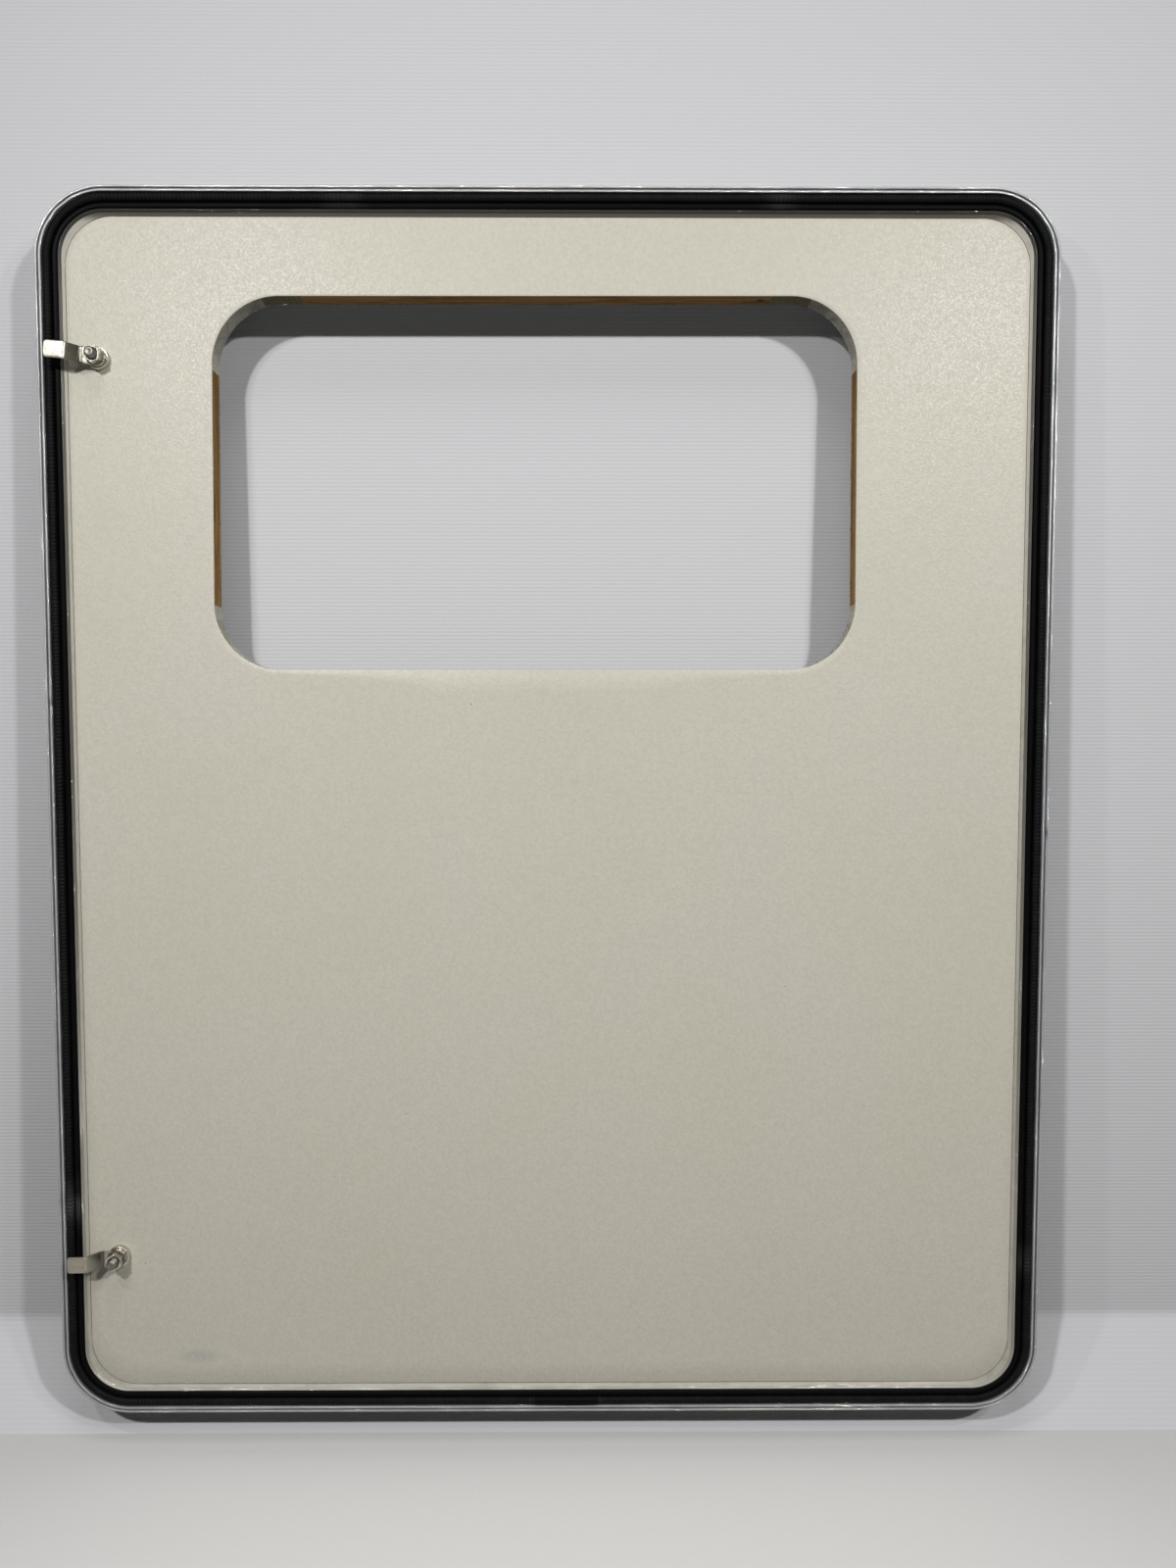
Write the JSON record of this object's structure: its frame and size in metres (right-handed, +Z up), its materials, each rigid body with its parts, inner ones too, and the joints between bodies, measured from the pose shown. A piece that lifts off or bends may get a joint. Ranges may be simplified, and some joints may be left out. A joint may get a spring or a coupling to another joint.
{
  "type": "caravan service hatch leaf",
  "caption": "Upright sandwich-panel hatch leaf with rounded corners, aluminium edge frame, rubber seal, cut-out for a window and cranked cam latches on its left edge.",
  "frame": {"origin": "on the flat side face of the edge frame away from the latches, where the hinge strip is fastened, halfway up the leaf and halfway through its thickness", "axes": "+Z up, along the leaf's height; +Y through the leaf's thickness towards its outer side, the inner side with the cams facing -Y; +X out of the hinge side, the leaf and its latches lying towards -X"},
  "size_m": [1.1, 0.0605, 1.352],
  "materials": {
    "inner_sheet_paint": "cream, fine stucco grain, semi-matt",
    "outer_sheet_paint": "off-white, smooth gloss",
    "foam": "grey rigid foam, cut",
    "batten_wood": "sawn softwood",
    "packing": "glue-stained wood, matt",
    "glue": "dried foamed adhesive",
    "frame_aluminium": "extruded, satin",
    "sealant": "cream sealant, smooth",
    "seal_rubber": "black rubber, fine ribs",
    "lock_plate_metal": "polished",
    "lock_metal": "zinc-plated",
    "spindle_steel": "threaded, dull",
    "upper_cam_metal": "bright nickel, slightly yellow",
    "lower_cam_metal": "dull, worn zinc",
    "washer_steel": "bright zinc",
    "nut_steel": "zinc-plated"
  },
  "bodies": {
    "leaf": {"inner_sheet": "inner_sheet_paint", "outer_sheet": "outer_sheet_paint", "core_top": "foam", "core_bottom": "foam", "core_left": "foam", "core_right": "foam", "corner_foam": "foam", "batten_top": "batten_wood", "batten_bottom": "batten_wood", "batten_left": "batten_wood", "batten_right": "batten_wood", "packing_pieces": "packing", "glue_pads": "glue", "edge_frame": "frame_aluminium", "edge_sealant": "sealant", "seal": "seal_rubber", "seal_joint": "seal_rubber", "upper_lock_plate": "lock_plate_metal", "upper_lock_barrel": "lock_metal", "upper_lock_collar": "lock_metal", "lower_lock_plate": "lock_plate_metal", "lower_lock_barrel": "lock_metal", "lower_lock_collar": "lock_metal"},
    "upper_latch": {"upper_lock_plug": "lock_metal", "upper_spindle": "spindle_steel", "upper_cam": "upper_cam_metal", "upper_washer": "washer_steel", "upper_nut": "nut_steel"},
    "lower_latch": {"lower_lock_plug": "lock_metal", "lower_spindle": "spindle_steel", "lower_cam": "lower_cam_metal", "lower_washer": "washer_steel", "lower_nut": "nut_steel"}
  },
  "joints": [
    {"name": "upper_latch_turn", "type": "hinge", "parent": "leaf", "child": "upper_latch", "pos_m": [-1.035, -0.012, 0.495], "axis": [0, -1, 0], "range_deg": [0, 90]},
    {"name": "lower_latch_turn", "type": "hinge", "parent": "leaf", "child": "lower_latch", "pos_m": [-1.035, -0.012, -0.495], "axis": [0, -1, 0], "range_deg": [0, 90]}
  ]
}
